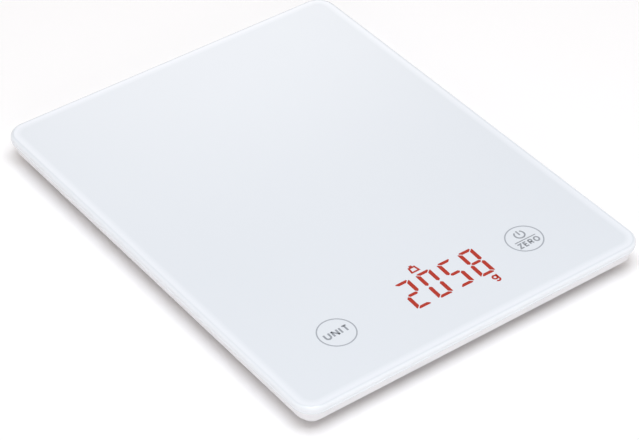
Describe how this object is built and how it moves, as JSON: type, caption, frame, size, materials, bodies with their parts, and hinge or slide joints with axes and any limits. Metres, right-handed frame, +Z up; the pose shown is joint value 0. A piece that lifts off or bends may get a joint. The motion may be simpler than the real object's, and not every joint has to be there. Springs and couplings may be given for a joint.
{
  "type": "kitchen scale",
  "caption": "Slim electronic kitchen scale: white back-painted glass platform with a hidden red LED read-out and two touch keys on a low body with four weighing feet.",
  "frame": {"origin": "on the table, under the centre of the platform", "axes": "+X right along the front edge (the keys' edge), +Y from the front edge to the back, +Z up out of the platform"},
  "size_m": [0.17, 0.22, 0.014],
  "materials": {
    "back_painted_glass": "tempered glass, white enamel fired on its back, polished rounded edge",
    "foam_tape": "white acrylic foam tape",
    "white_abs": "injection-moulded white ABS, fine satin texture",
    "cell_steel": "stamped spring steel, nickel plated",
    "bracket_plastic": "moulded natural nylon",
    "cup_plastic": "moulded white acetal",
    "foot_rubber": "moulded grey silicone rubber",
    "gauge_film": "polyimide film with foil grid",
    "zinc_screw": "zinc-plated steel",
    "circuit_board": "glass-epoxy laminate with green solder mask",
    "chip_epoxy": "moulded black epoxy",
    "crystal_can": "nickel-plated can",
    "capacitor_ceramic": "fired ceramic with tinned ends",
    "housing_plastic": "moulded white reflector plastic",
    "display_resin": "diffused red epoxy",
    "led_chip": "LED die under clear resin",
    "diffuser_film": "milky polyester film",
    "gasket_foam": "black light-blocking foam",
    "spring_steel": "tinned spring wire",
    "coin_steel": "nickel-plated stainless steel",
    "contact_bronze": "nickel-flashed phosphor bronze",
    "lead_sleeve": "PVC-insulated stranded wire",
    "red_sleeve": "red PVC-insulated wire",
    "black_sleeve": "black PVC-insulated wire",
    "solder": "tin solder"
  },
  "bodies": {
    "scale_body": {"glass_platform": "back_painted_glass", "adhesive_frame": "foam_tape", "carrier_frame": "white_abs", "bottom_cover": "white_abs", "strain_gauges": "gauge_film", "cover_screws": "zinc_screw", "bracket_screws": "zinc_screw", "board_screws": "zinc_screw", "control_board": "circuit_board", "controller_chip": "chip_epoxy", "converter_chip": "chip_epoxy", "clock_crystal": "crystal_can", "board_capacitors": "capacitor_ceramic", "display_housing": "housing_plastic", "display_lenses": "display_resin", "display_leds": "led_chip", "display_film": "diffuser_film", "display_gasket": "gasket_foam", "touch_spring_unit": "spring_steel", "touch_spring_zero": "spring_steel", "coin_cell_left": "coin_steel", "coin_cell_right": "coin_steel", "negative_contact": "contact_bronze", "positive_contact": "contact_bronze", "bridge_contact": "contact_bronze", "negative_lead": "black_sleeve", "positive_lead": "red_sleeve", "solder_joints": "solder", "load_cell_front_left": "cell_steel", "load_cell_bracket_front_left": "bracket_plastic", "foot_cup_front_left": "cup_plastic", "foot_pad_front_left": "foot_rubber", "load_cell_leads_front_left": "lead_sleeve", "load_cell_front_right": "cell_steel", "load_cell_bracket_front_right": "bracket_plastic", "foot_cup_front_right": "cup_plastic", "foot_pad_front_right": "foot_rubber", "load_cell_leads_front_right": "lead_sleeve", "load_cell_rear_left": "cell_steel", "load_cell_bracket_rear_left": "bracket_plastic", "foot_cup_rear_left": "cup_plastic", "foot_pad_rear_left": "foot_rubber", "load_cell_leads_rear_left": "lead_sleeve", "load_cell_rear_right": "cell_steel", "load_cell_bracket_rear_right": "bracket_plastic", "foot_cup_rear_right": "cup_plastic", "foot_pad_rear_right": "foot_rubber", "load_cell_leads_rear_right": "lead_sleeve"},
    "battery_door": {"battery_door": "white_abs"}
  },
  "joints": [
    {"name": "battery_door_hinge", "type": "hinge", "parent": "scale_body", "child": "battery_door", "pos_m": [0, 0.0338, 0.0031], "axis": [1, 0, 0], "range_deg": [0, 80]}
  ]
}
